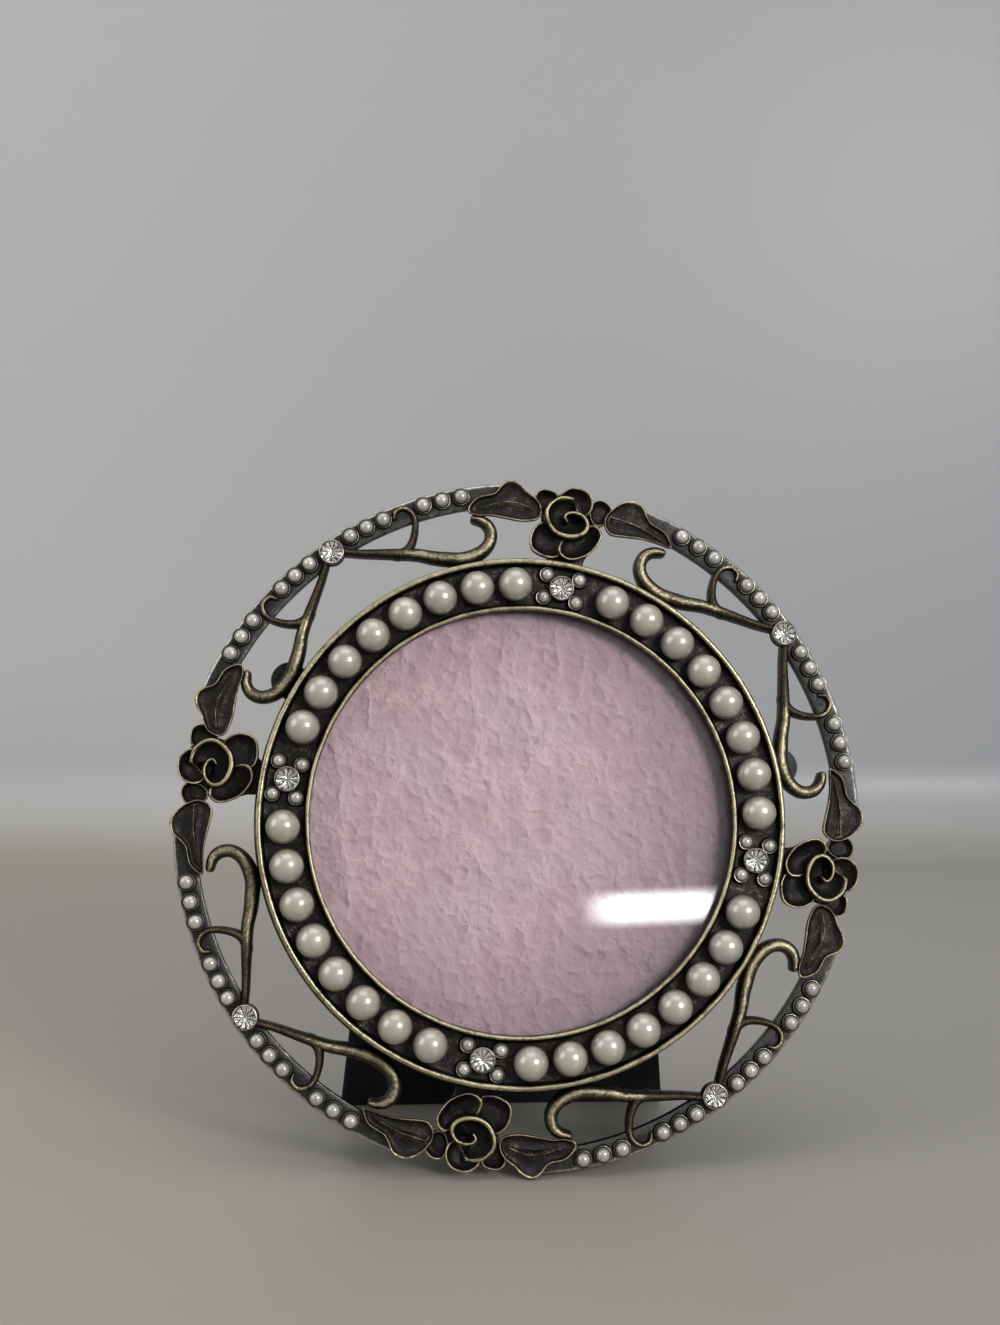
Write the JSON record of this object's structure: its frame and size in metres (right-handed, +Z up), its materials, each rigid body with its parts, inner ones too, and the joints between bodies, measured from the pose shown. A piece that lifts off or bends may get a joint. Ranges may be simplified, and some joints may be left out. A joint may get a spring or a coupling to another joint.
{
  "type": "filigree picture frame",
  "caption": "Round antique-brass openwork picture frame with roses, leaves, scrolls, pearls and clear stones, standing on a hinged velvet easel leg.",
  "frame": {"origin": "on the surface that it stands on, below the middle of its bounding box", "axes": "+Z up, front of the frame towards -Y and tipped back 13.3 degrees, +X to the right as seen from the front"},
  "size_m": [0.1482, 0.0512, 0.1444],
  "materials": {
    "aged_brass": "antique brass, dark in the hollows and rubbed pale on the edges",
    "grey_band_brass": "antique brass, dulled to gunmetal grey",
    "large_pearl": "pearlescent cream",
    "small_pearl": "pearlescent grey white",
    "clear_stone": "clear cut glass, foiled behind",
    "clear_glass": "clear flat glass",
    "pink_paper": "crinkled dusty pink paper",
    "grey_card": "plain card",
    "black_velvet": "black velvet over board",
    "hinge_steel": "plain plated steel",
    "dark_button": "dark gunmetal"
  },
  "bodies": {
    "frame": {"back_panel": "black_velvet", "backing_card": "grey_card", "band_lower_left": "grey_band_brass", "band_lower_right": "grey_band_brass", "band_pearls_lower_left": "small_pearl", "band_pearls_lower_right": "small_pearl", "band_pearls_upper_left": "small_pearl", "band_pearls_upper_right": "small_pearl", "band_stones": "clear_stone", "band_upper_left": "grey_band_brass", "band_upper_right": "grey_band_brass", "button_screws": "hinge_steel", "cluster_pearls_bottom": "small_pearl", "cluster_pearls_left": "small_pearl", "cluster_pearls_right": "small_pearl", "cluster_pearls_top": "small_pearl", "cluster_stones": "clear_stone", "glass_disc": "clear_glass", "hinge_panel_plate": "hinge_steel", "hinge_pin": "hinge_steel", "large_pearls_lower_left": "large_pearl", "large_pearls_lower_right": "large_pearl", "large_pearls_upper_left": "large_pearl", "large_pearls_upper_right": "large_pearl", "leaf_bottom_left": "aged_brass", "leaf_bottom_right": "aged_brass", "leaf_left_lower": "aged_brass", "leaf_left_upper": "aged_brass", "leaf_right_lower": "aged_brass", "leaf_right_upper": "aged_brass", "leaf_top_left": "aged_brass", "leaf_top_right": "aged_brass", "panel_rivets": "hinge_steel", "paper_insert": "pink_paper", "pearl_ring": "aged_brass", "rose_bottom": "aged_brass", "rose_left": "aged_brass", "rose_right": "aged_brass", "rose_top": "aged_brass", "scroll_bottom_left": "aged_brass", "scroll_bottom_right": "aged_brass", "scroll_left_lower": "aged_brass", "scroll_left_upper": "aged_brass", "scroll_right_lower": "aged_brass", "scroll_right_upper": "aged_brass", "scroll_top_left": "aged_brass", "scroll_top_right": "aged_brass"},
    "leg": {"easel_leg": "black_velvet", "hinge_leg_plate": "hinge_steel", "leg_rivets": "hinge_steel"},
    "button_left": {"turn_button_left": "dark_button"},
    "button_right": {"turn_button_right": "dark_button"}
  },
  "joints": [
    {"name": "leg_fold", "type": "hinge", "parent": "frame", "child": "leg", "pos_m": [-0.0014, 0.0054, 0.09046], "axis": [-1, 0, 0], "range_deg": [0, 25.4]},
    {"name": "left_button_turn", "type": "hinge", "parent": "frame", "child": "button_left", "pos_m": [-0.04935, 0.00593, 0.10098], "axis": [0, -0.9732, 0.23], "range_deg": [-90, 90]},
    {"name": "right_button_turn", "type": "hinge", "parent": "frame", "child": "button_right", "pos_m": [0.05676, 0.00163, 0.08277], "axis": [0, -0.9732, 0.23], "range_deg": [-90, 90]}
  ]
}
